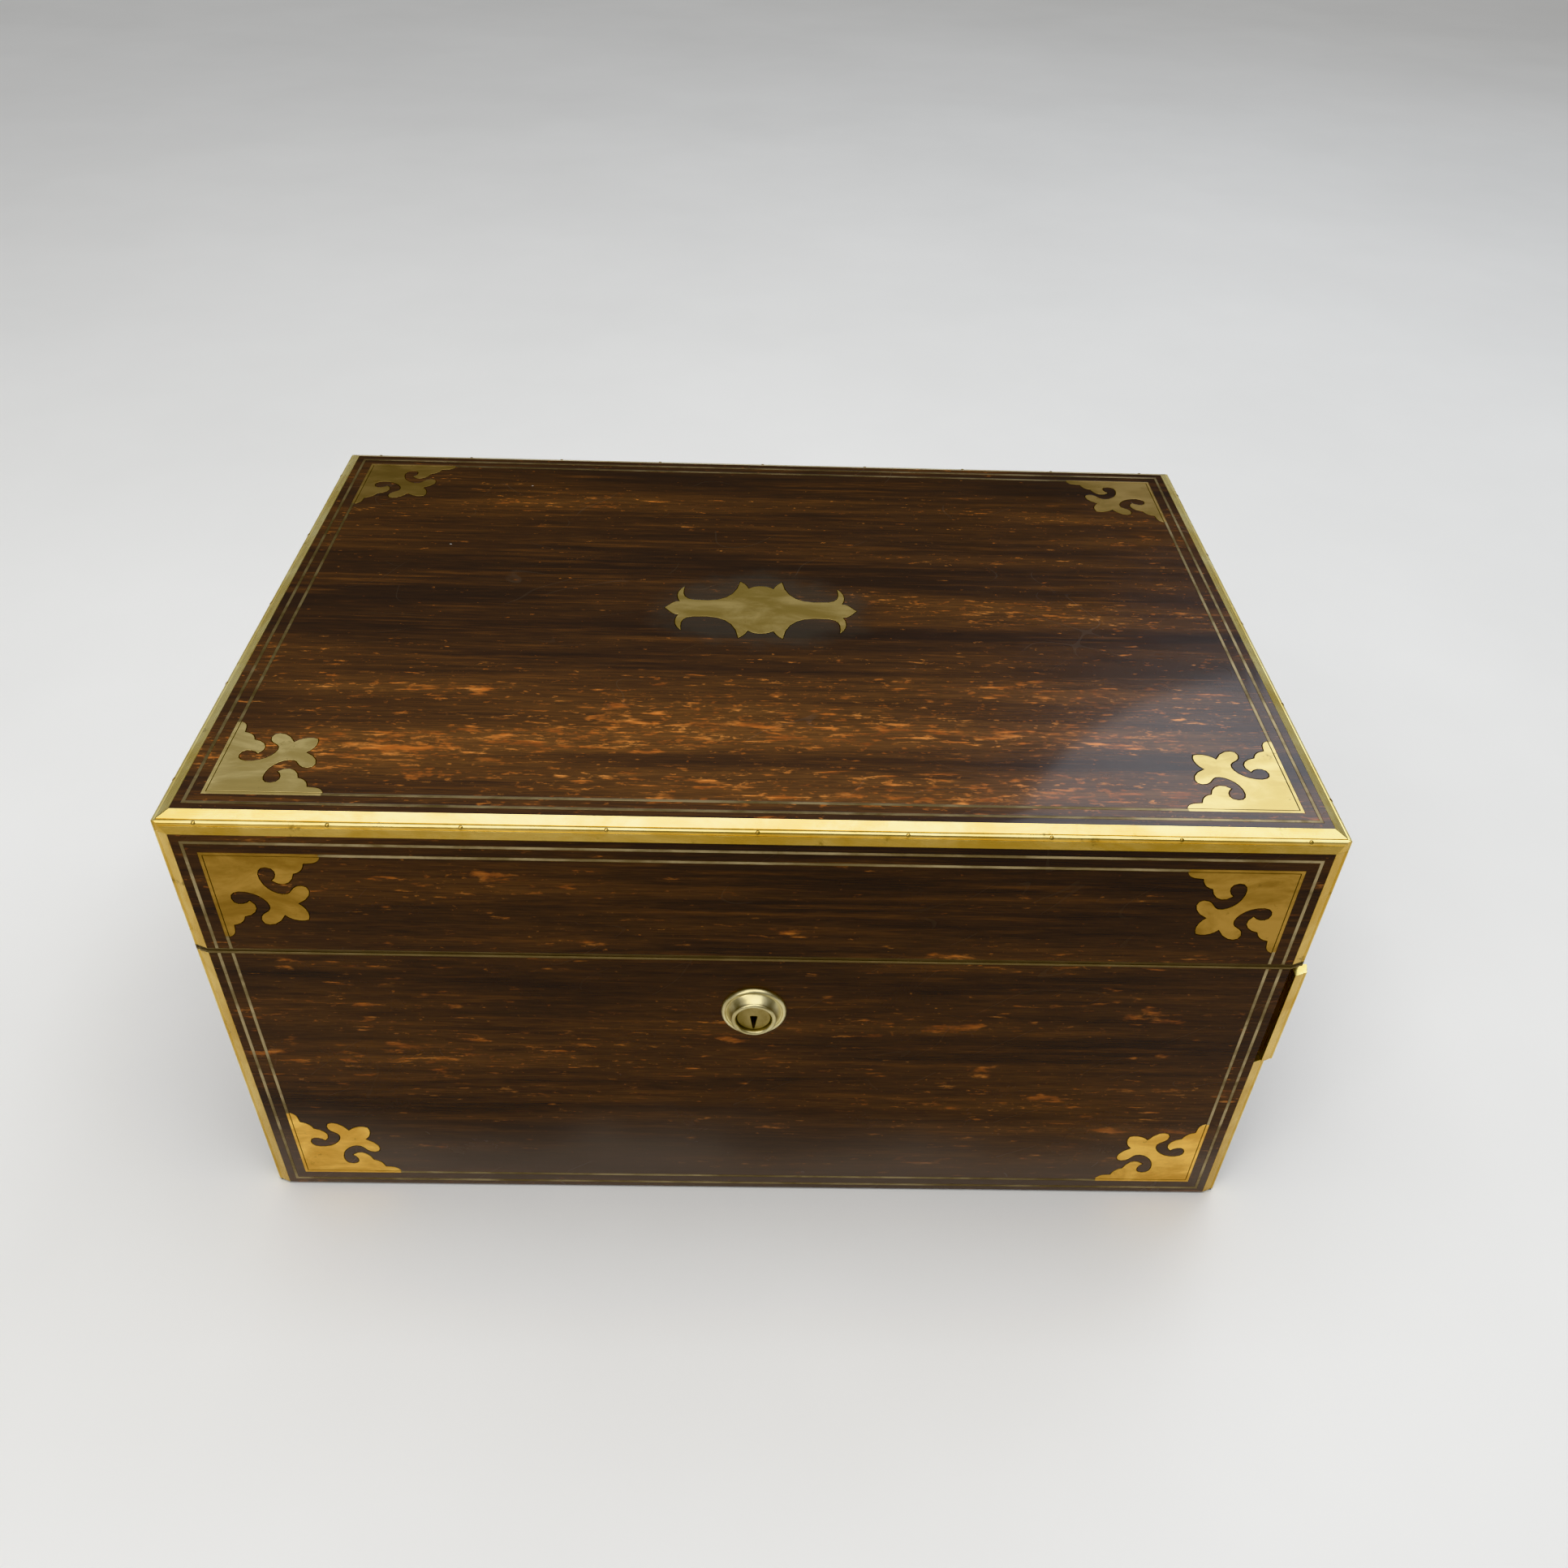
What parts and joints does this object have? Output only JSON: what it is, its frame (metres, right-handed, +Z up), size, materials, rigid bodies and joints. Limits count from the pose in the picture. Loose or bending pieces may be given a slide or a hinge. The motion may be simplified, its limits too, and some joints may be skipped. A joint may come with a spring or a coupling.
{
  "type": "jewelry casket",
  "caption": "Rectangular wooden jewelry casket with a hinged lid, brass edging and corner plates, stringing lines, a cylinder lock, a compartment tray and a padded lid.",
  "frame": {"origin": "middle of the felt under the bottom", "axes": "+X to the right along the width, -Y towards the front where the lock is, +Z up"},
  "size_m": [0.3423, 0.2417, 0.1725],
  "materials": {
    "streaked_veneer": "french polish over dark streaked veneer",
    "mahogany": "satin",
    "edging_brass": "worn polish",
    "inlay_brass": "aged satin",
    "rim_brass": "tarnished",
    "lock_brass": "worn polish",
    "steel": "oiled steel",
    "felt_green": "matte felt",
    "leather_red": "satin",
    "velvet_red": "velvet pile",
    "silk_red": "quilted silk"
  },
  "bodies": {
    "base": {"base_front_board": "mahogany", "base_back_board": "mahogany", "base_left_board": "mahogany", "base_right_board": "mahogany", "base_bottom_board": "mahogany", "base_felt": "felt_green", "base_front_veneer": "streaked_veneer", "base_rim_brass": "rim_brass", "base_edging_front_left": "edging_brass", "base_edging_front_right_lower": "edging_brass", "base_edging_front_right_sprung": "edging_brass", "base_edging_back_left": "edging_brass", "base_edging_back_right": "edging_brass", "base_plate_left": "inlay_brass", "base_plate_right": "inlay_brass", "base_stringing_outer": "inlay_brass", "base_stringing_inner": "inlay_brass", "lock_case": "lock_brass", "lock_rose": "lock_brass", "hinge_left_base_leaf": "lock_brass", "hinge_left_pin": "steel", "hinge_right_base_leaf": "lock_brass", "hinge_right_pin": "steel", "tray_rest_frame": "mahogany", "tray": "leather_red", "ring_cushion": "velvet_red"},
    "lid": {"lid_top_board": "mahogany", "lid_front_board": "mahogany", "lid_back_board": "mahogany", "lid_left_board": "mahogany", "lid_right_board": "mahogany", "lid_top_veneer": "streaked_veneer", "lid_front_veneer": "streaked_veneer", "lid_rim_brass": "rim_brass", "lid_edging_top_front": "edging_brass", "lid_edging_top_back": "edging_brass", "lid_edging_top_left": "edging_brass", "lid_edging_top_right": "edging_brass", "lid_edging_front_left": "edging_brass", "lid_edging_front_right": "edging_brass", "lid_edging_back_left": "edging_brass", "lid_edging_back_right": "edging_brass", "top_plate_front_left": "inlay_brass", "top_plate_front_right": "inlay_brass", "top_plate_back_left": "inlay_brass", "top_plate_back_right": "inlay_brass", "lid_plate_left": "inlay_brass", "lid_plate_right": "inlay_brass", "top_cartouche": "inlay_brass", "top_stringing_outer": "inlay_brass", "top_stringing_inner": "inlay_brass", "lid_stringing_outer": "inlay_brass", "lid_stringing_inner": "inlay_brass", "lock_link_plate": "lock_brass", "lid_lining_frame": "leather_red", "lid_pad": "silk_red", "hinge_left_lid_leaf": "lock_brass", "hinge_right_lid_leaf": "lock_brass"},
    "lock_plug": {"lock_plug": "lock_brass"},
    "lock_bolt": {"lock_bolt": "steel"}
  },
  "joints": [
    {"name": "lid_hinge", "type": "hinge", "parent": "base", "child": "lid", "pos_m": [0, 0.1185, 0.1205], "axis": [-1, 0, 0], "range_deg": [0, 100]},
    {"name": "lock_turn", "type": "hinge", "parent": "base", "child": "lock_plug", "pos_m": [0, -0.116, 0.0969], "axis": [0, 1, 0], "range_deg": [0, 90]},
    {"name": "bolt_slide", "type": "slide", "parent": "base", "child": "lock_bolt", "axis": [1, 0, 0], "range_m": [0, 0.00421]}
  ],
  "couplings": [
    {"joint": "bolt_slide", "follows": "lock_turn", "m_per_rad": 0.0026738}
  ]
}
